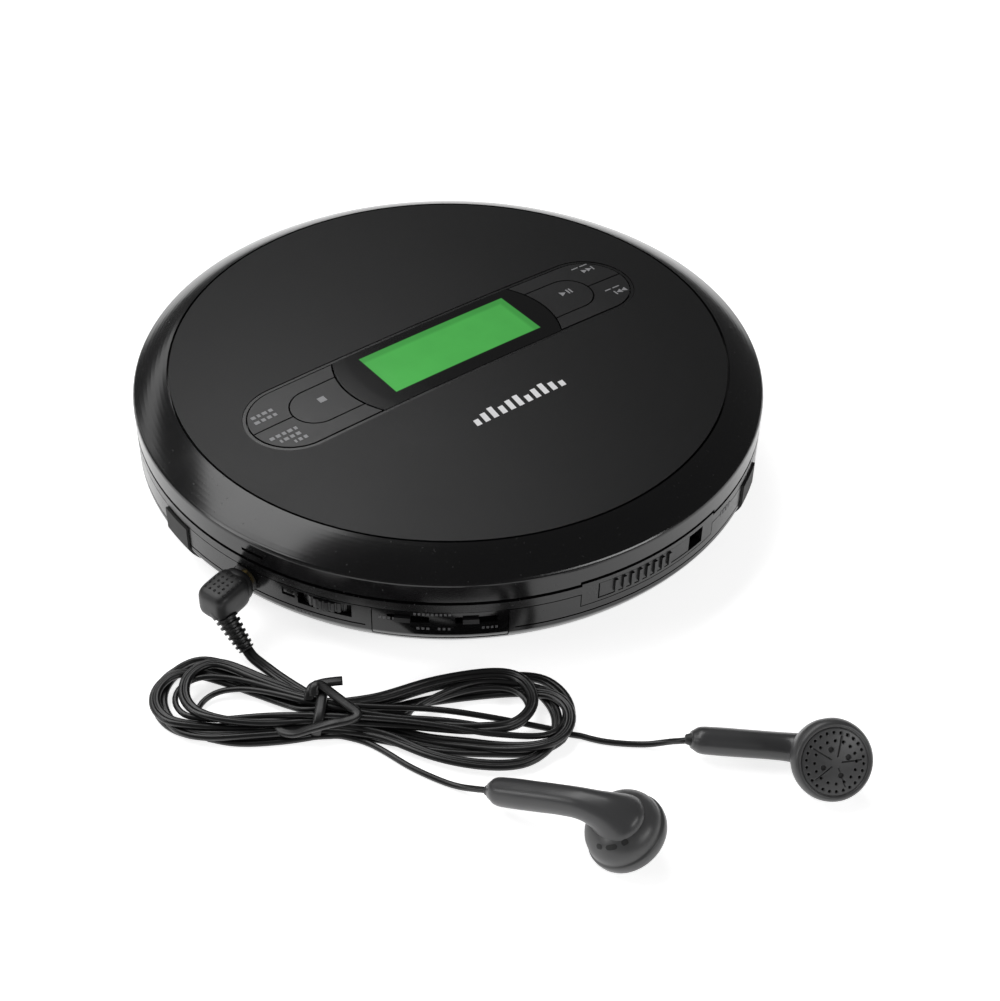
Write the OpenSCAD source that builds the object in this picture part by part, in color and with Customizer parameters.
// Portable disc player, round, with a tied pair of earphones.
// Millimetres. X runs along the control strip, -Y is the front with the
// opening slider, +Y is the hinge, z = 0 is the surface that the feet stand on.

/* [Body] */
// Outer diameter of the lid and the base
body_d = 140; // [136:1:170]
// Height of the base's top edge above the surface
base_h = 16.8; // [16.8:0.1:20]
// Height of the rubber feet below the case
foot_h = 1.0; // [0.8:0.1:1.4]
// Height of the deck's band above the seam with the bottom case
band_h = 2.0; // [2:0.1:2.6]
// Wall thickness of the bottom case
case_wall = 1.6; // [1.2:0.1:1.8]
// Width of the rounded lower edge of the base
base_round_w = 7.5; // [6.5:0.5:8]
// Height of the rounded lower edge of the base
base_round_h = 7.6; // [6.8:0.2:8]
// Thickness of the seam line between the shells
seam = 0.2; // [0.1:0.05:0.3]

/* [Lid] */
// Gap between the base and the lid
lid_gap = 0.8; // [0.5:0.1:1.2]
// Height of the lid's upright wall
lid_wall_h = 5.0; // [4.8:0.1:6.5]
// Thickness of the lid's upright wall
lid_wall = 1.5; // [1.2:0.1:1.6]
// Rise of the sloping ring from the wall to the panel
ring_rise = 3.6; // [3.4:0.1:4.6]
// Width of the sloping ring around the panel
ring_w = 8.0; // [7.6:0.1:9]
// Rise of the panel's crown above its edge
panel_crown = 1.4; // [1:0.1:2]
// Thickness of the top panel
panel_t = 1.4; // [1.2:0.1:1.6]
// Width of the groove around the top panel
panel_groove = 0.5; // [0.3:0.1:0.8]

/* [Control strip] */
// Length of the control strip
strip_len = 103; // [100:1:104]
// Width of the control strip
strip_w = 22; // [21:0.5:24]
// Length of the display lens between the points of its curved ends
lens_len = 54; // [52:0.5:56]
// Depth of the curve at each end of the display lens
lens_bow = 3.4; // [2.5:0.1:4.5]
// Width of the two inner buttons
inner_button_w = 11.2; // [10:0.2:12]
// Gap between neighbouring buttons and around them
button_gap = 0.35; // [0.3:0.05:0.45]
// Travel of each lid button
button_travel = 0.5; // [0.3:0.05:0.5]
// Width of the visible display area
display_w = 40.4; // [36:0.2:41]
// Height of the visible display area
display_h = 15.2; // [13:0.2:15.6]

/* [Side controls] */
// Middle of the opening slider's window, in degrees around the rim
slider_mid = -90; // [-91:0.5:-89]
// Width of the slider's window, in degrees
slider_window = 23; // [22:0.5:24]
// Height of the slider's window
slider_h = 4.1; // [3.6:0.1:4.2]
// Travel of the opening slider, in degrees around the rim
slider_travel = 3.2; // [2.5:0.1:3.4]
// Diameter of the volume wheel
volume_d = 14.8; // [13:0.2:15.2]
// Thickness of the volume wheel
volume_t = 2.4; // [2:0.1:2.6]
// How far the volume wheel stands out of the case
volume_out = 0.5; // [0.3:0.1:0.8]
// Travel of the two small slide switches, in degrees around the rim
switch_travel = 1.8; // [1.2:0.1:2]

/* [Sockets] */
// Diameter of the headphone plug's tip
plug_d = 3.5; // [3.5:0.1:3.6]
// Radial clearance of the plug in its socket
plug_clear = 0.05; // [0.02:0.01:0.08]
// Bore of the power socket
power_d = 5.5; // [5.5:0.1:5.7]

/* [Disc drive] */
// Diameter of the disc that the well takes
disc_d = 120; // [118:1:120]
// Clearance between the disc and the wall of its well
disc_clear = 1.2; // [1:0.1:1.6]
// Diameter of the spindle's centring boss
hub_d = 14.9; // [14.8:0.05:14.95]
// Distance from the spindle to the lens at the inner stop
lens_home = 23; // [23:0.5:25]
// Travel of the pickup sled
sled_travel = 33; // [28:1:33]
// Diameter of the guide rods
rod_d = 2.0; // [1.8:0.1:2.4]
// Diameter of the lead screw
screw_d = 2.4; // [2:0.1:2.6]
// Radial running clearance of shafts and rods
run_clear = 0.05; // [0.02:0.01:0.09]

/* [Batteries] */
// Diameter of a cell
cell_d = 14.5; // [13.5:0.1:14.5]
// Length of a cell with its nub
cell_len = 50.5; // [49:0.1:50.5]
// Thickness of the battery door
door_t = 1.0; // [0.9:0.1:1]
// Travel of the battery door
door_travel = 4.5; // [3:0.5:4.5]
// Clearance around the battery door
door_clear = 0.3; // [0.2:0.1:0.4]

/* [Hinge] */
// Radius of the hinge barrel
barrel_r = 2.2; // [2:0.1:2.3]
// Width of the hinge barrel
barrel_w = 24; // [20:1:26]
// Diameter of the hinge pins
pin_d = 1.8; // [1.5:0.1:2]
// Length of a hinge pin
pin_len = 9; // [8:0.5:10]

/* [Earphones] */
// Diameter of a single earphone lead
lead_d = 1.1; // [1:0.1:1.2]
// Width of the twin lead
twin_w = 2.2; // [2:0.1:2.4]
// Diameter of an earbud's face
bud_d = 15.2; // [14.6:0.2:15.6]

/* [Hidden] */
$fn = 96;

// Heights, from the surface up
rim_r = body_d / 2;
case_z = foot_h;
deck_top = base_h;
seam_z = deck_top - band_h;
case_top = seam_z - seam;
lid_z = deck_top + lid_gap;
wall_top = lid_z + lid_wall_h;
panel_r = rim_r - ring_w - panel_groove / 2;
ring_in_r = panel_r + panel_groove;
panel_z = wall_top + ring_rise;
panel_seat_z = panel_z - panel_t;
floor_z = case_z + case_wall;
case_in_r = rim_r - case_wall;
round_cr = rim_r - base_round_w;
round_cz = case_z + base_round_h;
edge_power = 1.54;

// Disc well
well_r = disc_d / 2 + disc_clear;
well_wall = 1.5;
well_floor_t = 0.8;
deck_plate_t = 1.2;
well_floor_z = seam_z + 2.05;
well_top_z = deck_top + 2.6;
disc_z = well_floor_z + well_floor_t + 0.95;
turntable_r = 14;
turntable_t = 1.5;
slot_half = 9;
slot_end = lens_home + sled_travel + 5;
relief_half = 14.2;

// Inside the lid
cover_t = 0.8;
cover_z = wall_top - 0.7;
cover_r = rim_r - 4;
board_t = 0.8;
lid_board_z = cover_z + cover_t + 0.6;
switch_h = 0.5;
tray_t = 0.8;
tray_z = lid_board_z + board_t + 0.1;
tray_top = tray_z + tray_t;
strip_r = strip_w / 2;
strip_mid = strip_len / 2 - strip_r;
frame_wall = 0.8;
button_z = tray_top + button_travel + 0.1;
stem_r = 1.2;
lens_z = tray_top + 1.2;

// Hinge
hinge_y = rim_r - 4.5;
hinge_z = lid_z + 1.6;
notch_w = barrel_w + 0.8;
knuckle_w = 4.6;
sweep_r = 4.2;
sweep_w = 41;
strip_under_z = hinge_z + barrel_r + 0.4;

// Latch
latch_a0 = slider_mid - slider_window / 2 - 3;
latch_a1 = slider_mid + slider_window / 2 + 3;
latch_z0 = seam_z - 3.2;
latch_rise = 0.6;
slider_z0 = deck_top - 0.45 - slider_h;
slider_a0 = slider_mid - slider_window / 2 + 0.3;
slider_a1 = slider_mid + slider_window / 2 - slider_travel - 0.3;
hook_w = 3.4;
hook_y = rim_r - 5.2;
hook_t = 1.2;

// Side controls
volume_a = -147;
volume_cr = rim_r + volume_out - volume_d / 2;
volume_z = case_top - 0.8 - volume_t;
volume_slot = 9.5;
panel_a0 = -139;
panel_a1 = -116.7;
switch_as = [-133, -122];
switch_z = case_top - 1.9;
switch_slot_h = 1.6;
board_z = case_top - 7.6;
main_board_t = 1.2;
board_top = board_z + main_board_t;
indicator_a = -153.5;

// Sockets
jack_a = -162.4;
jack_z = case_top - 3.4;
jack_r = 3.0;
jack_in = rim_r - 13.5;
power_a = 42;
power_z = 10.2;
power_depth = 9;
power_in = rim_r - 13;

// Drive
chassis_z = disc_z - 7.6;
chassis_t = 1.2;
rod_z = chassis_z + chassis_t + 1.8;
rod_y = 11;
screw_y = -17;
screw_z = chassis_z + chassis_t + 0.8;
sled_top = well_floor_z - 0.45;
sled_front = 4.6;
damper_spots = [[-16, -17], [-16, 16], [40, -22.8], [40, 17.5]];
damper_z0 = chassis_z - 2.4;

// Flat cable
ribbon_x = -37;
ribbon_w = 6;
ribbon_t = 0.3;
ribbon_y = rim_r - 14;
ribbon_z = seam_z - 1;
ribbon_end_y = 20;

// Batteries
cell_r = cell_d / 2;
cell_z = case_z + door_t + 0.2 + cell_r;
cell_ys = [33.5, 48.5];
bay_x = cell_len / 2 + 3.6;
door_x = bay_x - 1.45;
door_y0 = cell_ys[0] - cell_r - 1.15;
door_y1 = cell_ys[1] + cell_r + 1.15;

// Screws
case_screw_as = [31, 152, -31, -172];
case_screw_r = rim_r - 11;
lid_screw_as = [20, 160, 200, 340];
lid_screw_r = rim_r - 10;
foot_as = [180, -60, 60];
foot_span = 7;
foot_out = 0.5;
plunger_a = -58;
plunger_cr = rim_r - 4.8;
plunger_r = 1.3;

// Routes of the leads, in millimetres
twin_route = [
    [-73, -31, 3.4], [-72.8, -33, 2.4], [-72.1, -35.3, 1.8], [-71.4, -37.8, 1.4],
    [-70.8, -40.4, 1.3], [-70.1, -43, 1.3], [-69.6, -45.4, 1.3]
];
left_route = [
    [-69.8, -59, 1.2], [-68, -60.6, 0.8], [-66.7, -62.3, 0.7], [-65.6, -64.4, 0.7],
    [-64.8, -66.6, 0.7], [-64, -69.2, 0.7], [-63.2, -72, 0.7], [-62.1, -74.9, 0.7],
    [-60.4, -78.6, 0.7], [-58.7, -81.8, 0.9], [-57.5, -84, 1.6], [-56.5, -86.1, 2.6],
    [-55.5, -88.2, 3.5]
];
right_route = [
    [-35, -82.6, 1], [-34, -84, 0.8], [-32.5, -86.2, 0.7], [-30.4, -89.2, 0.7],
    [-27.7, -92, 0.7], [-25, -94.4, 0.8], [-22.8, -96.4, 1.3], [-20.9, -98.1, 2.2],
    [-19.3, -99.5, 2.9], [-17.5, -101.1, 3.2]
];
hank_mid = [-63, -55.3];
hank_turn = -39.4;
hank_h = 5;
hank_left = [[-30.7, 0], 9.5];
hank_right = [[31.2, -0.5], 11.6];
hank_far = [[-22.6, 6.8], [-13, 2.2], [-6.5, 1], [-2, 1.2], [8, 4.4], [15.8, 7.3], [23.5, 9.7]];
hank_near = [[24, -10], [13, -6.9], [7, -6], [-7, -6.8], [-15, -7.5], [-23.6, -8.4]];
hank_waist = [-6.8, -2.9, 4];

// Earbuds: middle of the head, direction of the face, direction to the stem's end
right_bud = [[-2.8, -121.6, 6.8], [-0.38, -0.7, 0.6], [-0.56, 0.82, -0.16]];
left_bud = [[-42.5, -110.3, 4.8], [0.42, -0.3, -0.86], [-0.5, 0.86, -0.07]];
neck_end = [-6.5, 0, -6.8];
stem_end = [-23.4, 0, -11];

// ---------------------------------------------------------------- outlines

// Sloping lower edge of the base, inset evenly from the outside
function lower_edge(inset) =
    let (r0 = round_cr - 0.41 * inset, z1 = round_cz + 0.41 * inset)
    [for (i = [0:12])
        let (a = 90 * i / 12)
        [r0 + (rim_r - inset - r0) * pow(sin(a), edge_power),
         z1 - (z1 - case_z - inset) * pow(cos(a), edge_power)]];

// Outer or inset line of the base's wall, from the floor's edge up to z
function base_line(inset, z) = concat(lower_edge(inset), [[rim_r - inset, z]]);

// Height of the crowned panel at radius r
function crown(r) = panel_z + panel_crown * (1 - pow(r / panel_r, 2));

// Line of the sloping ring, from its outer edge to the panel's groove
function ring_line() = [for (i = [0:8])
    let (t = i / 8, r0 = rim_r - 0.7, z0 = wall_top + 0.1)
    [r0 + (ring_in_r - r0) * t, z0 + (panel_z - z0) * t + 1.2 * t * (1 - t)]];

// Rounded edge between the lid's wall and the ring
function edge_line() = [for (i = [0:4])
    let (a = 65 * i / 4)
    [rim_r - 1.1 + 1.1 * cos(a), wall_top - 0.9 + 1.05 * sin(a)]];

function unit(v) = v / norm(v);

// Smooth curve through the points, with n steps between each two
function smooth(p, n) = concat(
    [for (i = [0:len(p) - 2], k = [0:n - 1])
        let (t = k / n,
             a = p[max(i - 1, 0)], b = p[i], c = p[i + 1], d = p[min(i + 2, len(p) - 1)])
        0.5 * ((2 * b) + (c - a) * t + (2 * a - 5 * b + 4 * c - d) * t * t
            + (3 * b - 3 * c + d - a) * t * t * t)],
    [p[len(p) - 1]]);

// Tube of diameter d swept along the points p
module tube(p, d, sides = 8) {
    n = len(p);
    rings = [for (i = [0:n - 1])
        let (t = unit(p[min(i + 1, n - 1)] - p[max(i - 1, 0)]),
             s = unit(cross(t, [0, 0, 1])), u = cross(s, t))
        for (k = [0:sides - 1])
            p[i] + (s * cos(360 * k / sides) + u * sin(360 * k / sides)) * d / 2];
    sheets = [for (i = [0:n - 2], k = [0:sides - 1])
        let (a = i * sides + k, b = i * sides + (k + 1) % sides)
        [a, a + sides, b + sides, b]];
    polyhedron(rings, concat(sheets,
        [[for (k = [0:sides - 1]) k],
         [for (k = [sides - 1:-1:0]) (n - 1) * sides + k]]), convexity = 8);
}

// Part of a ring between two angles and two heights
module sector(r0, r1, a0, a1, z0, z1) {
    rotate([0, 0, a0]) rotate_extrude(angle = a1 - a0)
        translate([r0, z0]) square([r1 - r0, z1 - z0]);
}

// Puts its children at radius r and angle a, with X pointing outwards
module at(a, r, z = 0) {
    rotate([0, 0, a]) translate([r, 0, z]) children();
}

module stadium(half_len, r) {
    for (s = [-1, 1]) translate([s * half_len, 0]) circle(r);
    square([2 * half_len, 2 * r], center = true);
}

module rounded(w, h, r) {
    for (x = [-1, 1], y = [-1, 1]) translate([x * (w / 2 - r), y * (h / 2 - r)]) circle(r, $fn = 32);
    square([w - 2 * r, h], center = true);
    square([w, h - 2 * r], center = true);
}

// Space under the panel's crown, lowered by drop
module under_crown(drop, z0) {
    rotate_extrude() polygon(concat([[0, z0]], [[panel_r, z0]],
        [for (i = [8:-1:0]) [panel_r * i / 8, crown(panel_r * i / 8) - drop]]));
}

// Outline of the display lens, with bowed ends
module lens_outline(inset) {
    h = strip_r - frame_wall - inset;
    w = lens_len / 2 - inset;
    arc_r = (pow(strip_r, 2) + pow(lens_bow, 2)) / (2 * lens_bow);
    for (s = [-1, 1]) intersection() {
        translate([s * (w / 2 - 1), 0]) square([w + 2, 2 * h], center = true);
        translate([s * (w - arc_r), 0]) circle(arc_r, $fn = 192);
    }
}

// Area of one end of the strip that its three buttons share, s = -1 or 1
module button_field(s) {
    intersection() {
        difference() {
            stadium(strip_mid, strip_r - frame_wall - button_gap);
            lens_outline(-button_gap);
        }
        translate([s * strip_len / 2, 0]) square([strip_len, strip_len], center = true);
    }
}

module inner_button_outline(s, grow) {
    r = inner_button_w / 2 + grow;
    translate([s * (strip_mid - inner_button_w / 2), 0]) circle(r);
    translate([s * (strip_mid - inner_button_w) / 2, 0])
        square([strip_mid, 2 * r], center = true);
}

// Cap and stem of a button, made from a flat outline
module button(stem) {
    intersection() {
        translate([0, 0, button_z]) linear_extrude(8) children();
        under_crown(0.05, tray_z);
    }
    translate([stem[0], stem[1], tray_top + 0.15])
        cylinder(r = stem_r, h = button_z - tray_top + 0.1, $fn = 32);
}

function inner_stem(s) = [s * (strip_mid - 4), 0];
function outer_stem(s, side) = [s * (strip_mid + 1), side * (strip_r + inner_button_w / 2) / 2];

module inner_button(s) {
    button(inner_stem(s)) intersection() {
        button_field(s);
        inner_button_outline(s, 0);
    }
}

module outer_button(s, side) {
    button(outer_stem(s, side)) difference() {
        intersection() {
            button_field(s);
            translate([0, side * (strip_w + button_gap) / 2])
                square([2 * strip_len, strip_w], center = true);
        }
        inner_button_outline(s, button_gap);
    }
}

// ---------------------------------------------------------------- lid

module lid_shell() {
    color("#151516") {
        difference() {
            rotate_extrude() polygon(concat(
                [[rim_r - lid_wall, lid_z], [rim_r, lid_z]],
                edge_line(), ring_line(),
                [[ring_in_r, panel_seat_z], [ring_in_r - 4.6, panel_seat_z],
                 [ring_in_r - 4.6, panel_seat_z - 1.2], [ring_in_r + 1, panel_seat_z - 1.2],
                 [cover_r + 0.3, wall_top + 0.6], [cover_r + 0.8, wall_top - 0.4],
                 [rim_r - lid_wall, wall_top - 1.8]]));
            // opening for the hinge barrel
            translate([-notch_w / 2, hinge_y - barrel_r - 1.4, lid_z - 1])
                cube([notch_w, 12, strip_under_z - lid_z + 1]);
            // raised stretch of the lower edge, over the opening slider
            sector(rim_r - 4, rim_r + 1, latch_a0 - 0.3, latch_a1 + 0.3, lid_z - 1, lid_z + latch_rise);
            // pilot holes of the screws
            for (a = lid_screw_as) at(a, lid_screw_r, cover_z) cylinder(r = 0.8, h = 2.6, $fn = 48);
            // slot for a lanyard
            sector(rim_r - 4, rim_r + 1, -162.4, -158, lid_z + 1.6, lid_z + 2.3);
        }
        // hinge knuckles
        for (s = [-1, 1]) difference() {
            intersection() {
                translate([s * (notch_w / 2 + knuckle_w / 2), hinge_y, hinge_z])
                    rotate([0, 90, 0]) cylinder(r = 2.0, h = knuckle_w, center = true);
                translate([0, 0, lid_z - 3]) cylinder(r = rim_r - 0.05, h = 10);
            }
            translate([s * (barrel_w / 2), hinge_y, hinge_z])
                rotate([0, 90, 0]) cylinder(r = pin_d / 2, h = pin_len, center = true, $fn = 48);
        }
        // screw bosses
        for (a = lid_screw_as) at(a, lid_screw_r) difference() {
            translate([0, 0, cover_z + cover_t]) cylinder(r = 2.2, h = panel_seat_z - 0.6 - cover_z - cover_t);
            translate([0, 0, cover_z]) cylinder(r = 0.8, h = 2.6, $fn = 48);
        }
    }
}

module lid_top_panel() {
    color("#1e1e20") difference() {
        rotate_extrude() polygon(concat(
            [for (i = [0:8]) [panel_r * i / 8, crown(panel_r * i / 8)]],
            [for (i = [8:-1:0]) [panel_r * i / 8, crown(panel_r * i / 8) - panel_t]]));
        translate([0, 0, tray_z]) linear_extrude(8) stadium(strip_mid, strip_r);
    }
}

module strip_frame() {
    color("#101011") {
        difference() {
            translate([0, 0, tray_z]) linear_extrude(tray_t) stadium(strip_mid, strip_r + 2.2);
            translate([0, 0, tray_z - 1]) linear_extrude(3)
                rounded(display_w + 5, display_h + 3.6, 1);
            for (s = [-1, 1]) {
                translate([inner_stem(s)[0], inner_stem(s)[1], tray_z - 1])
                    cylinder(r = stem_r + 0.4, h = 3, $fn = 32);
                for (side = [-1, 1])
                    translate([outer_stem(s, side)[0], outer_stem(s, side)[1], tray_z - 1])
                        cylinder(r = stem_r + 0.4, h = 3, $fn = 32);
            }
        }
        intersection() {
            translate([0, 0, tray_top]) linear_extrude(8) difference() {
                stadium(strip_mid, strip_r - 0.1);
                stadium(strip_mid, strip_r - frame_wall);
            }
            under_crown(0.15, tray_z);
        }
    }
}

module display_lens() {
    color("#0a0b0c") intersection() {
        translate([0, 0, lens_z]) linear_extrude(8) lens_outline(0.05);
        under_crown(0.02, lens_z);
    }
}

module lcd_module() {
    color("#3fae4c") {
        translate([0, 0, lid_board_z + board_t]) linear_extrude(lens_z - 0.1 - lid_board_z - board_t)
            rounded(display_w + 4, display_h + 2.6, 0.8);
    }
}

module stop_button() { color("#18181a") inner_button(-1); }
module mode_button() { color("#141415") outer_button(-1, 1); }
module program_button() { color("#141415") outer_button(-1, -1); }
module play_button() { color("#18181a") inner_button(1); }
module skip_forward_button() { color("#141415") outer_button(1, 1); }
module skip_back_button() { color("#141415") outer_button(1, -1); }

module button_switches() {
    color("silver") for (s = [-1, 1]) {
        translate([inner_stem(s)[0], inner_stem(s)[1], lid_board_z + board_t])
            cylinder(r = 1.4, h = switch_h, $fn = 32);
        for (side = [-1, 1])
            translate([outer_stem(s, side)[0], outer_stem(s, side)[1], lid_board_z + board_t])
                cylinder(r = 1.4, h = switch_h, $fn = 32);
    }
}

module lid_circuit_board() {
    color("#1c5a34") translate([0, 0, lid_board_z]) linear_extrude(board_t)
        stadium(strip_mid, strip_r + 2);
}

module lid_inner_cover() {
    color("#1a1a1b") difference() {
        union() {
            translate([0, 0, cover_z]) cylinder(r = cover_r, h = cover_t);
            // ledge that the circuit board stands on
            translate([0, 0, cover_z + cover_t]) linear_extrude(lid_board_z - cover_z - cover_t)
                difference() {
                    stadium(strip_mid, strip_r + 2);
                    stadium(strip_mid, strip_r + 0.8);
                }
            // post over the lid switch
            at(plunger_a, plunger_cr, lid_z - 0.1) cylinder(r = 1.2, h = cover_z - lid_z + 0.2, $fn = 32);
        }
        translate([-30, hinge_y - barrel_r - 1.4, cover_z - 1]) cube([60, 12, 3]);
        for (a = lid_screw_as) at(a, lid_screw_r, cover_z - 1) cylinder(r = 0.95, h = 3, $fn = 48);
    }
}

module lid_screws() {
    color("silver") for (a = lid_screw_as) at(a, lid_screw_r) difference() {
        union() {
            translate([0, 0, cover_z - 0.7]) cylinder(r = 1.7, h = 0.7, $fn = 48);
            translate([0, 0, cover_z - 0.1]) cylinder(r = 0.8, h = 2.6, $fn = 48);
        }
        translate([0, 0, cover_z - 0.8]) linear_extrude(0.5) {
            square([2, 0.5], center = true);
            square([0.5, 2], center = true);
        }
    }
}

module lid_hook() {
    color("#2a2a2c") {
        translate([-hook_w / 2, -hook_y - hook_t, seam_z - 1.4]) cube([hook_w, hook_t, cover_z - seam_z + 1.4]);
        translate([-hook_w / 2, -hook_y - hook_t - 0.6, seam_z - 1.4]) cube([hook_w, 0.8, 1]);
        translate([-hook_w, -hook_y - hook_t, cover_z - 0.9]) cube([2 * hook_w, 3, 0.9]);
    }
}

module hinge_pins() {
    color("silver") for (s = [-1, 1])
        translate([s * (barrel_w / 2), hinge_y, hinge_z])
            rotate([0, 90, 0]) cylinder(r = pin_d / 2, h = pin_len, center = true, $fn = 48);
}

// Flat cable from the main board, under the deck and up to the lid
module lid_ribbon() {
    color("#c9a24a") translate([ribbon_x, 0, 0]) {
        translate([0, ribbon_y, ribbon_z]) cube([ribbon_w, ribbon_t, cover_z - 0.05 - ribbon_z]);
        translate([0, ribbon_end_y, ribbon_z]) cube([ribbon_w, ribbon_y + ribbon_t - ribbon_end_y, ribbon_t]);
        translate([0, ribbon_end_y, board_top]) cube([ribbon_w, ribbon_t, ribbon_z + ribbon_t - board_top]);
    }
}

// ---------------------------------------------------------------- base

module disc_deck() {
    color("#161617") {
        difference() {
            union() {
                // outer band
                sector(rim_r - 1.4, rim_r, 0, 360, seam_z, deck_top);
                // plate behind the band
                sector(well_r + 0.1, rim_r - 1.2, 0, 360, seam_z, seam_z + deck_plate_t);
                // wall of the disc well
                sector(well_r, well_r + well_wall, 0, 360, seam_z, well_top_z);
                // floor of the disc well
                translate([0, 0, well_floor_z]) cylinder(r = well_r + 0.5, h = well_floor_t);
                // bosses of the case screws
                for (a = case_screw_as) at(a, case_screw_r, seam_z)
                    cylinder(r = 2, h = well_floor_z + 0.2 - seam_z, $fn = 48);
                // front stretch that carries the opening slider
                sector(rim_r - 1.6, rim_r, latch_a0, latch_a1, latch_z0, deck_top + latch_rise);
            }
            // spindle opening and pickup slot
            translate([0, 0, well_floor_z - 1]) {
                cylinder(r = turntable_r + 1.2, h = 3);
                translate([0, -slot_half, 0]) cube([slot_end, 2 * slot_half, 3]);
            }
            // relief under the well's floor for the end of the drive
            translate([slot_end - 10, -relief_half, seam_z - 1])
                cube([rim_r - 4 - slot_end + 10, 2 * relief_half, well_floor_z - 0.2 - seam_z + 1]);
            // pocket of the latch
            sector(hook_y - 1.2, rim_r - 1.5, latch_a0 + 0.5, latch_a1 - 0.5, seam_z - 1, deck_top + 2);
            // slider's window
            sector(rim_r - 3, rim_r + 1, slider_mid - slider_window / 2, slider_mid + slider_window / 2,
                slider_z0, slider_z0 + slider_h);
            // room for the lid's rear wall as it turns
            translate([0, hinge_y, hinge_z]) rotate([0, 90, 0]) cylinder(r = sweep_r, h = sweep_w, center = true);
            translate([-notch_w / 2, hinge_y + barrel_r + 0.2, seam_z + 0.9]) cube([notch_w, 6, 6]);
            // hole of the lid switch
            at(plunger_a, plunger_cr, seam_z - 1) cylinder(r = plunger_r + 0.25, h = 4, $fn = 48);
            // slot of the flat cable
            translate([ribbon_x - 0.5, ribbon_y - 0.6, seam_z - 1]) cube([ribbon_w + 1, ribbon_t + 1.2, 3]);
            // case screws
            for (a = case_screw_as) at(a, case_screw_r, seam_z - 1) cylinder(r = 1.0, h = 2.7, $fn = 48);
        }
        // hinge barrel on its web
        difference() {
            union() {
                translate([0, hinge_y, hinge_z]) rotate([0, 90, 0])
                    cylinder(r = barrel_r, h = barrel_w, center = true);
                translate([-barrel_w / 2, hinge_y - barrel_r, seam_z])
                    cube([barrel_w, 2 * barrel_r, hinge_z - seam_z]);
            }
            translate([0, hinge_y, hinge_z]) rotate([0, 90, 0])
                cylinder(r = pin_d / 2 + run_clear, h = barrel_w + 2, center = true, $fn = 48);
        }
    }
}

module bottom_case() {
    color("#131314") {
        difference() {
            rotate_extrude() polygon(concat([[0, case_z]], base_line(0, case_top),
                [[case_in_r, case_top]],
                [for (i = [12:-1:0]) lower_edge(case_wall)[i]],
                [[0, floor_z]]));
            // line of the lower seam, broken by the side panel and the power socket
            for (a = [[panel_a1 + 1, power_a - 6], [power_a + 6, panel_a0 + 359]])
                sector(rim_r - 0.35, rim_r + 1, a[0], a[1], round_cz + 0.9, round_cz + 1.25);
            // front stretch of the deck
            sector(rim_r - 4, rim_r + 1, latch_a0 - 0.15, latch_a1 + 0.15, latch_z0 - seam, case_top + 1);
            // volume wheel's slot
            sector(rim_r - 4, rim_r + 2, volume_a - volume_slot / 2, volume_a + volume_slot / 2,
                volume_z - 0.4, volume_z + volume_t + 0.4);
            // indicator window
            sector(rim_r - 4, rim_r + 1, indicator_a - 1.2, indicator_a + 1.2, case_top - 2.6, case_top - 0.8);
            // inset of the side panel
            sector(rim_r - 0.8, rim_r + 1, panel_a0, panel_a1, case_z + 2.2, case_top + 1);
            // slots of the slide switches
            for (a = switch_as) sector(rim_r - 4, rim_r + 1, a - 3.4, a + 3.4,
                switch_z - switch_slot_h / 2, switch_z + switch_slot_h / 2);
            // sockets
            at(jack_a, rim_r, jack_z) rotate([0, 90, 0]) cylinder(r = jack_r + 0.1, h = 12, center = true);
            at(power_a, rim_r, power_z) rotate([0, 90, 0]) cylinder(r = 4.1, h = 12, center = true);
            // battery opening, and the door's recess with room to slide
            translate([-door_x + 1.2, door_y0 + 1, case_z - 1])
                cube([2 * door_x - 2.4, door_y1 - door_y0 - 2, 4]);
            translate([-door_x - door_clear, door_y0 - door_travel - door_clear, case_z - 1])
                cube([2 * (door_x + door_clear), door_y1 - door_y0 + door_travel + 2 * door_clear, 1 + door_t + 0.05]);
            // case screws
            for (a = case_screw_as) at(a, case_screw_r, case_z - 1) {
                cylinder(r = 2.6, h = 2.6, $fn = 48);
                cylinder(r = 1.2, h = 6, $fn = 48);
            }
        }
        // bosses of the case screws
        for (a = case_screw_as) at(a, case_screw_r) difference() {
            translate([0, 0, case_z + 1.6]) cylinder(r = 3.2, h = seam_z - case_z - 1.6);
            translate([0, 0, case_z - 1]) cylinder(r = 2.6, h = 2.6, $fn = 48);
            translate([0, 0, case_z]) cylinder(r = 1.05, h = seam_z, $fn = 48);
        }
        // posts under the drive, with pins for the dampers
        for (p = damper_spots) translate([p[0], p[1], floor_z - 0.2]) {
            cylinder(r = 2.8, h = damper_z0 - floor_z + 0.2);
            cylinder(r = 0.9, h = chassis_z + chassis_t + 0.6 - floor_z, $fn = 48);
        }
        // posts under the main board
        for (p = [[-30, -40], [-30, 15], [-56, 14]])
            translate([p[0], p[1], floor_z - 0.2]) cylinder(r = 2, h = board_z - floor_z + 0.2, $fn = 48);
        // walls of the battery bay
        for (s = [-1, 1]) translate([s * (bay_x + 0.6) - 0.6, door_y0, floor_z - 0.2])
            cube([1.2, door_y1 - door_y0, 11]);
        translate([-bay_x, door_y0 - 0.2, floor_z - 0.2]) cube([2 * bay_x, 1, 11]);
        // post of the lid switch
        at(plunger_a, plunger_cr - 2.6, floor_z - 0.2) cylinder(r = 1.8, h = 5.6, $fn = 48);
        // cradle of the power socket
        at(power_a, power_in + 5, floor_z - 0.2)
            translate([-5, -4.4, 0]) cube([9, 8.8, power_z - 4 - floor_z + 0.2]);
    }
}

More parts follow.
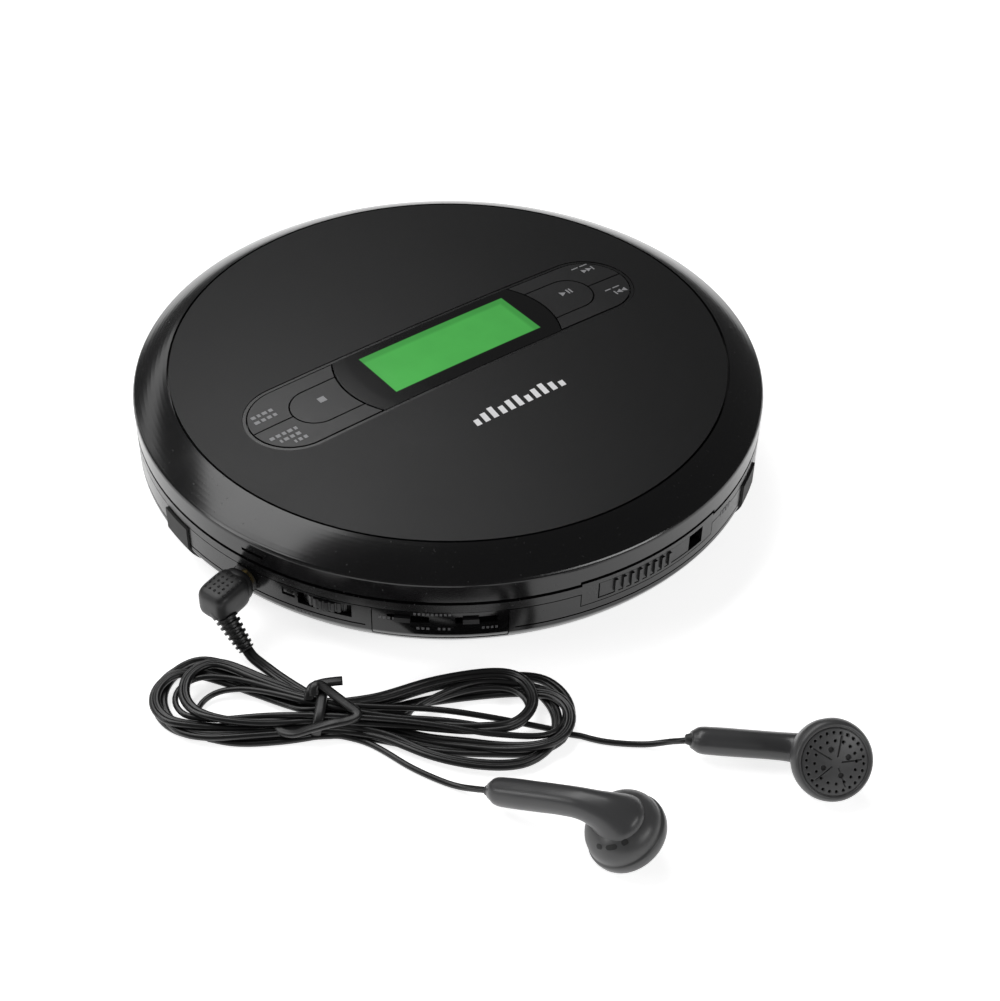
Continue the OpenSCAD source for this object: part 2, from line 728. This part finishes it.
module case_screws() {
    color("silver") for (a = case_screw_as) at(a, case_screw_r, case_z + 0.4) difference() {
        union() {
            cylinder(r = 2.2, h = 1.2, $fn = 48);
            cylinder(r = 1.0, h = seam_z - case_z + 1.1, $fn = 48);
        }
        translate([0, 0, -0.1]) linear_extrude(0.8) {
            square([2.6, 0.6], center = true);
            square([0.6, 2.6], center = true);
        }
    }
}

// Each foot wraps round the lower edge of the case
module rubber_feet() {
    color("#262627") for (a = foot_as) rotate([0, 0, a - foot_span / 2])
        rotate_extrude(angle = foot_span) difference() {
            union() {
                polygon(concat([[round_cr - 5, 0], [round_cr - 5, case_z + 1],
                    [rim_r - 2, case_top - 0.6], [rim_r + foot_out, case_top - 0.6]],
                    [for (i = [12:-1:0])
                        let (a = 90 * i / 12)
                        [round_cr + (base_round_w + foot_out) * pow(sin(a), edge_power),
                         round_cz - round_cz * pow(cos(a), edge_power)]]));
            }
            polygon(concat([[0, case_z]], base_line(0, case_top), [[0, case_top]]));
        }
}

module battery_cover() {
    color("#161617") difference() {
        translate([-door_x, door_y0, case_z])
            cube([2 * door_x, door_y1 - door_y0, door_t]);
        for (i = [0:4]) translate([-7, door_y0 + 3 + 1.6 * i, case_z - 0.1]) cube([14, 0.8, 0.5]);
    }
}

module battery_cells() {
    color("#3c6e8f") for (i = [0, 1]) translate([0, cell_ys[i], cell_z])
        rotate([0, i == 0 ? 90 : -90, 0]) {
            translate([0, 0, -cell_len / 2]) cylinder(r = cell_r - 0.1, h = cell_len - 1);
            translate([0, 0, cell_len / 2 - 1.1]) cylinder(r = 2.7, h = 1.1, $fn = 48);
        }
}

module battery_contacts() {
    color("silver") for (i = [0, 1]) translate([0, cell_ys[i], cell_z])
        rotate([0, i == 0 ? 90 : -90, 0]) {
            // spring end
            translate([-4.5, -5, -bay_x]) cube([9, 10, 0.4]);
            translate([0, 0, -bay_x + 0.4]) cylinder(r1 = 4.5, r2 = 2.6, h = bay_x - 0.4 - cell_len / 2, $fn = 48);
            // button end
            translate([-4.5, -5, bay_x - 0.4]) cube([9, 10, 0.4]);
            translate([0, 0, cell_len / 2]) cylinder(r = 2.4, h = bay_x - 0.4 - cell_len / 2, $fn = 48);
        }
}

module main_circuit_board() {
    color("#1c5a34") translate([0, 0, board_z]) linear_extrude(main_board_t) difference() {
        intersection() {
            circle(rim_r - 4);
            translate([-rim_r, -60]) square([rim_r - 22, 84]);
        }
        at(case_screw_as[3], case_screw_r) circle(3.8);
    }
}

module circuit_chips() {
    color("#222222") {
        translate([-36, -12, board_top]) cube([12, 12, 1.6]);
        translate([-50, -6, board_top]) cube([9, 6, 1.4]);
        translate([-44, 6, board_top]) cube([7, 7, 1.4]);
        translate([-30, -32, board_top]) cube([5, 8, 1.4]);
        translate([-28, 12, board_top]) cylinder(r = 2.5, h = 4.8, $fn = 48);
        translate([-40, -26, board_top]) cylinder(r = 2, h = 4.8, $fn = 48);
        translate([-56, 12, board_top]) cylinder(r = 2, h = 4.8, $fn = 48);
    }
}

module indicator_window() {
    color("#301010") sector(rim_r - 1.8, rim_r - 0.3, indicator_a - 1.1, indicator_a + 1.1,
        case_top - 2.5, case_top - 0.9);
}

module headphone_jack() {
    color("#2b2b2b") difference() {
        union() {
            at(jack_a, (jack_in + rim_r - 2.6) / 2, jack_z)
                cube([rim_r - 2.6 - jack_in, 2 * jack_r, 2 * jack_r - 0.2], center = true);
            at(jack_a, rim_r - 2.7, jack_z) rotate([0, 90, 0]) cylinder(r = jack_r, h = 2.5);
        }
        at(jack_a, jack_in - 1, jack_z) rotate([0, 90, 0])
            cylinder(r = plug_d / 2 + plug_clear, h = 20, $fn = 64);
    }
}

module power_jack() {
    color("#2b2b2b") at(power_a, power_in, power_z) rotate([0, 90, 0]) {
        difference() {
            union() {
                translate([-4, -4.4, 0]) cube([8, 8.8, 7.4]);
                cylinder(r = 4, h = 12.4);
            }
            translate([0, 0, 12.5 - power_depth]) cylinder(r = power_d / 2, h = power_depth + 1, $fn = 64);
        }
        cylinder(r = 1.0, h = 11.5, $fn = 48);
    }
}

module volume_wheel() {
    color("#101010") at(volume_a, volume_cr) {
        difference() {
            translate([0, 0, volume_z]) cylinder(r = volume_d / 2, h = volume_t);
            for (k = [0:10:359]) rotate([0, 0, k]) translate([volume_d / 2, 0, volume_z - 1])
                cylinder(r = 0.3, h = volume_t + 2, $fn = 16);
        }
        translate([0, 0, board_top + 0.9]) cylinder(r = 1.4, h = volume_z - board_top, $fn = 48);
    }
}

module volume_potentiometer() {
    color("#6b6b66") at(volume_a, volume_cr) difference() {
        translate([-4.5, -4.5, board_top]) cube([8.4, 9, volume_z - 0.3 - board_top]);
        translate([0, 0, board_top + 0.8]) cylinder(r = 1.4 + run_clear, h = 6, $fn = 48);
    }
}

// Glossy inset plate that follows the curve of the case
module side_panel() {
    color("#0c0c0d") difference() {
        rotate([0, 0, panel_a0 + 0.15]) rotate_extrude(angle = panel_a1 - panel_a0 - 0.3)
            intersection() {
                difference() {
                    polygon(concat([[0, case_z]], base_line(0.12, case_top), [[0, case_top]]));
                    translate([0, -1]) square([rim_r - 0.78, 40]);
                }
                translate([0, case_z + 2.35]) square([rim_r, case_top - case_z - 2.35]);
            }
        for (a = switch_as) sector(rim_r - 4, rim_r + 1, a - 3.4, a + 3.4,
            switch_z - switch_slot_h / 2, switch_z + switch_slot_h / 2);
    }
}

// Thumb piece of a slide switch, at one end of its slot
module switch_knob(a) {
    color("#1b1b1c") {
        sector(rim_r - 3.2, rim_r + 0.5, a - 1.3, a + 1.3,
            switch_z - switch_slot_h / 2 + 0.2, switch_z + switch_slot_h / 2 - 0.2);
    }
}

module hold_switch_knob() { switch_knob(switch_as[0] - switch_travel / 2); }
module bass_switch_knob() { switch_knob(switch_as[1] - switch_travel / 2); }

module slide_switches() {
    color("silver") for (a = switch_as) at(a, rim_r - 6.2, board_top)
        translate([-2.6, -4, 0]) cube([5.2, 8, case_top - 0.4 - board_top]);
}

// Thumb piece that releases the lid; it turns about the player's axis
module open_slider() {
    color("#1a1a1b") {
        sector(rim_r - 1.9, rim_r - 0.1, slider_a0, slider_a1, slider_z0 + 0.2, slider_z0 + slider_h - 0.2);
        sector(rim_r - 3, rim_r - 1.85, slider_a0 + 0.4, slider_a1 - 0.4, slider_z0 + 0.2, slider_z0 + slider_h + 0.2);
        for (i = [0:7]) sector(rim_r - 0.4, rim_r + 0.4, slider_a0 + 2.7 + 1.6 * i, slider_a0 + 3.3 + 1.6 * i,
            slider_z0 + 0.5, slider_z0 + slider_h - 0.5);
        sector(rim_r - 4, rim_r - 2.9, slider_mid + 3, slider_mid + 5.8, slider_z0 + 2, slider_z0 + 3);
    }
}

module lid_switch_plunger() {
    color("white") at(plunger_a, plunger_cr, seam_z - 2.6)
        cylinder(r = plunger_r, h = lid_z - 0.5 - seam_z + 2.6, $fn = 48);
}

module lid_switch_body() {
    color("#2b2b2b") at(plunger_a, plunger_cr - 1, floor_z + 5.4) difference() {
        translate([-3, -3.6, 0]) cube([6.4, 7.2, seam_z - 2 - floor_z - 5.4]);
        translate([1, 0, 1]) cylinder(r = plunger_r + 0.1, h = 20, $fn = 48);
    }
}

// ---------------------------------------------------------------- disc drive

module drive_chassis() {
    color("#8b8f94") {
        translate([0, 0, chassis_z]) linear_extrude(chassis_t) difference() {
            intersection() {
                circle(rim_r - 3.8);
                translate([-21, -25.4]) square([90, 46.4]);
            }
            translate([10, -20.5]) square([53, 34.5]);
            translate([-5, -21]) square([16, 8]);
            circle(3.6);
            for (p = damper_spots) translate(p) circle(1.4, $fn = 48);
        }
        // blocks that hold the guide rods
        for (y = [-rod_y, rod_y], x = [6, 63.1]) difference() {
            translate([x, y - 2, chassis_z + 0.2]) cube([2.2, 4, rod_z + 1.8 - chassis_z - 0.2]);
            translate([x - 1, y, rod_z]) rotate([0, 90, 0]) cylinder(r = rod_d / 2, h = 6, $fn = 48);
        }
        // end bearing of the lead screw
        difference() {
            translate([59.2, -21, chassis_z + 0.2]) cube([2, 6, screw_z + 1.7 - chassis_z - 0.2]);
            translate([58, screw_y, screw_z]) rotate([0, 90, 0])
                cylinder(r = screw_d / 2 + run_clear, h = 6, $fn = 48);
        }
    }
}

module rubber_dampers() {
    color("#2e2e30") for (p = damper_spots) translate([p[0], p[1], damper_z0]) difference() {
        cylinder(r = 2.7, h = chassis_z - damper_z0, $fn = 48);
        translate([0, 0, -1]) cylinder(r = 0.9, h = 6, $fn = 48);
    }
}

module spindle_motor() {
    color("#a9adb2") {
        difference() {
            translate([0, 0, floor_z + 1.2]) cylinder(r = 12, h = chassis_z - floor_z - 1.2);
        }
        cylinder_z = chassis_z - 0.1;
        translate([0, 0, cylinder_z]) cylinder(r = 3.2, h = chassis_t + 0.4, $fn = 48);
        translate([0, 0, cylinder_z]) cylinder(r = 0.75, h = disc_z + 1.6 - cylinder_z, $fn = 48);
    }
}

// Turntable with its centring boss, running on the motor's shaft
module spindle_turntable() {
    color("#d8d8d4") difference() {
        union() {
            translate([0, 0, disc_z - turntable_t]) cylinder(r = turntable_r, h = turntable_t);
            translate([0, 0, chassis_z + chassis_t + 0.7])
                cylinder(r = 3, h = disc_z - chassis_z - chassis_t - 0.7, $fn = 48);
            translate([0, 0, disc_z - 0.1]) cylinder(r = hub_d / 2, h = 1.7);
            translate([0, 0, disc_z + 1.6]) cylinder(r1 = hub_d / 2, r2 = hub_d / 2 - 1, h = 0.6);
        }
        translate([0, 0, chassis_z]) cylinder(r = 0.75 + run_clear, h = 12, $fn = 48);
        for (k = [0, 120, 240]) rotate([0, 0, k]) translate([hub_d / 2 - 1.1, 0, disc_z + 0.9])
            sphere(r = 1.15, $fn = 32);
    }
}

module clamp_balls() {
    color("silver") for (k = [0, 120, 240]) rotate([0, 0, k])
        translate([hub_d / 2 - 0.8, 0, disc_z + 0.9]) sphere(r = 0.8, $fn = 32);
}

module pickup_sled() {
    color("#3a3a3d") difference() {
        union() {
            translate([lens_home - 9, -13.4, rod_z - 1.9]) cube([9 + sled_front, 26.8, sled_top - rod_z + 1.9]);
            translate([lens_home - 7, screw_y - 2.4, screw_z - 1.9]) cube([6, 6.6, 3.8]);
        }
        for (y = [-rod_y, rod_y]) translate([lens_home - 10, y, rod_z]) rotate([0, 90, 0])
            cylinder(r = rod_d / 2 + run_clear, h = 16, $fn = 48);
        translate([lens_home - 10, screw_y, screw_z]) rotate([0, 90, 0])
            cylinder(r = screw_d / 2 + run_clear, h = 16, $fn = 48);
        translate([lens_home, 0, rod_z + 0.6]) cylinder(r = 4, h = 6);
    }
}

module lens_actuator() {
    color("#1e1e20") difference() {
        translate([lens_home - 5.6, -7.6, sled_top]) cube([5.6 + sled_front - 0.2, 15.2, 0.9]);
        translate([lens_home, 0, sled_top - 1]) cylinder(r = 3.8, h = 4);
    }
}

module objective_lens() {
    color("#3b3560") {
        translate([lens_home, 0, sled_top - 0.8]) cylinder(r = 3.4, h = 1.8);
        translate([lens_home, 0, sled_top + 0.9]) cylinder(r = 2.2, h = 0.5);
    }
}

module guide_rods() {
    color("silver") for (y = [-rod_y, rod_y]) translate([6.2, y, rod_z]) rotate([0, 90, 0])
        cylinder(r = rod_d / 2, h = 58.9, $fn = 48);
}

module lead_screw() {
    color("#b8b08a") translate([8.4, screw_y, screw_z]) rotate([0, 90, 0])
        cylinder(r = screw_d / 2, h = 52.6, $fn = 48);
}

module sled_motor() {
    color("#a9adb2") translate([-4, screw_y, screw_z]) rotate([0, 90, 0])
        cylinder(r = 3.5, h = 12.2);
}

// ---------------------------------------------------------------- earphones

module plug_body() {
    color("#151515") {
        at(jack_a, rim_r + 0.2, jack_z) rotate([0, 90, 0]) cylinder(r = 3.4, h = 4);
        at(jack_a, rim_r + 2, jack_z) translate([0, 3.5, 0]) rotate([90, 0, 0]) linear_extrude(7)
            polygon([[0, -3.2], [6.6, -3.2], [8.6, -1], [8.6, 3.4], [0, 3.4]]);
    }
}

module plug_tip() {
    color("gold") at(jack_a, jack_in + 0.4, jack_z) rotate([0, 90, 0]) {
        cylinder(r = plug_d / 2, h = rim_r + 0.2 - jack_in - 0.4, $fn = 64);
    }
}

// Tapered sleeve from the plug down to the lead
module strain_relief() {
    color("#151515") {
        p0 = [(rim_r + 7.54) * cos(jack_a + 0.74), (rim_r + 7.54) * sin(jack_a + 0.74), jack_z - 2];
        p1 = twin_route[0];
        d = p1 - p0;
        translate(p0) rotate([0, acos(d[2] / norm(d)), atan2(d[1], d[0])])
            cylinder(r1 = 2.2, r2 = 1.3, h = norm(d), $fn = 48);
    }
}

module cord_lead() { color("#1c1c1c") tube(smooth(twin_route, 2), twin_w); }
module left_lead() { color("#1c1c1c") tube(smooth(left_route, 2), lead_d); }
module right_lead() { color("#1c1c1c") tube(smooth(right_route, 2), lead_d); }

// Points of an arc round c, from angle a0 to a1
function arc(c, r, a0, a1, n) = [for (i = [0:n])
    let (a = a0 + (a1 - a0) * i / n) c + r * [cos(a), sin(a)]];

// The wound cord as one solid with round ends and a narrow waist
module cord_hank() {
    color("#1c1c1c") translate([hank_mid[0], hank_mid[1], 0]) rotate([0, 0, hank_turn])
        linear_extrude(hank_h) polygon(concat(
            arc(hank_right[0], hank_right[1], -95, 95, 24), [for (i = [6:-1:0]) hank_far[i]],
            arc(hank_left[0], hank_left[1], 80, 280, 24), [for (i = [5:-1:0]) hank_near[i]]));
}

module cord_tie() {
    color("#101010") translate([hank_mid[0], hank_mid[1], 0]) rotate([0, 0, hank_turn])
        translate([hank_waist[0], hank_waist[1], 0]) difference() {
            translate([-1.2, -hank_waist[2] - 1.5, 0]) cube([2.4, 2 * hank_waist[2] + 2.6, hank_h + 1]);
            translate([-3, -hank_waist[2] - 0.5, -1]) cube([6, 2 * hank_waist[2] + 1, hank_h + 1.1]);
        }
}

// Turns +Z to the direction n, and -X towards the direction d
module facing(n, d) {
    z = unit(n);
    y = unit(cross(z, -d));
    x = cross(y, z);
    multmatrix([[x[0], y[0], z[0], 0], [x[1], y[1], z[1], 0], [x[2], y[2], z[2], 0], [0, 0, 0, 1]])
        children();
}

// Round rod in the XZ plane from a to b
module rod(a, b, r1, r2) {
    d = b - a;
    translate(a) rotate([0, atan2(d[0], d[2]), 0]) cylinder(r1 = r1, r2 = r2, h = norm(d), $fn = 48);
}

// Earbud with its face towards +Z and its stem along -X, leaning back
module earbud() {
    rotate_extrude() polygon(concat([[0, 2.6], [2.4, 2.6], [bud_d / 2 - 2.4, 2.2], [bud_d / 2 - 0.6, 1.2],
        [bud_d / 2, 0.2], [bud_d / 2, -0.8], [bud_d / 2 - 0.8, -1.4]],
        [for (i = [0:6]) let (a = 85 * i / 6) [(bud_d / 2 - 1.2) * cos(a), -1.4 - 5 * sin(a)]],
        [[0, -1.4 - 5 * sin(85)]]));
    rod([0, 0, -3.4], neck_end, 3.4, 2.8);
    translate(neck_end) rotate([0, 45, 0]) sphere(r = 3.2, $fn = 48);
    rod(neck_end, stem_end, 2.9, 2.4);
}

module placed_earbud(b) {
    color("#333334") translate(b[0]) facing(b[1], b[2]) earbud();
}

module right_earbud() { placed_earbud(right_bud); }
module left_earbud() { placed_earbud(left_bud); }

lid_shell();
lid_top_panel();
strip_frame();
display_lens();
lcd_module();
stop_button();
mode_button();
program_button();
play_button();
skip_forward_button();
skip_back_button();
button_switches();
lid_circuit_board();
lid_inner_cover();
lid_screws();
lid_hook();
hinge_pins();
lid_ribbon();
disc_deck();
bottom_case();
case_screws();
rubber_feet();
battery_cover();
battery_cells();
battery_contacts();
main_circuit_board();
circuit_chips();
indicator_window();
headphone_jack();
power_jack();
volume_wheel();
volume_potentiometer();
side_panel();
hold_switch_knob();
bass_switch_knob();
slide_switches();
open_slider();
lid_switch_plunger();
lid_switch_body();
drive_chassis();
rubber_dampers();
spindle_motor();
spindle_turntable();
clamp_balls();
pickup_sled();
lens_actuator();
objective_lens();
guide_rods();
lead_screw();
sled_motor();
plug_body();
plug_tip();
strain_relief();
cord_lead();
cord_hank();
cord_tie();
left_lead();
right_lead();
left_earbud();
right_earbud();
